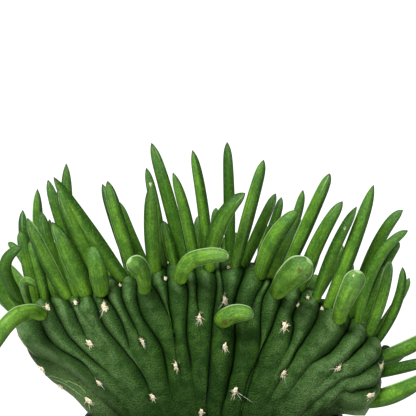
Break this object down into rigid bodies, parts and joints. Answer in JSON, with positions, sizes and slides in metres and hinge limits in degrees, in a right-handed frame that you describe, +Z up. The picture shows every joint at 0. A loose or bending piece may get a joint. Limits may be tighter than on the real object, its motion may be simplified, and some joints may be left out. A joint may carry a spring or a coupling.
{
  "type": "potted crested cactus",
  "caption": "Fan-shaped crested succulent cactus with ribbed swellings and a rim of fleshy leaves, growing in soil in a round tapered nursery pot.",
  "frame": {"origin": "centre of the pot's underside, on the surface that the pot stands on", "axes": "+Z up; the fan's broad front face, which the picture shows, looks along -Y; +X to the right as seen in the picture"},
  "size_m": [0.1818, 0.1, 0.1938],
  "materials": {
    "pot_plastic": "black, thin moulded polypropylene with a satin gloss",
    "soil_mix": null,
    "plant_skin": null
  },
  "bodies": {
    "root": {"pot": "pot_plastic", "soil": "soil_mix", "crested_stem": "plant_skin"}
  },
  "joints": []
}
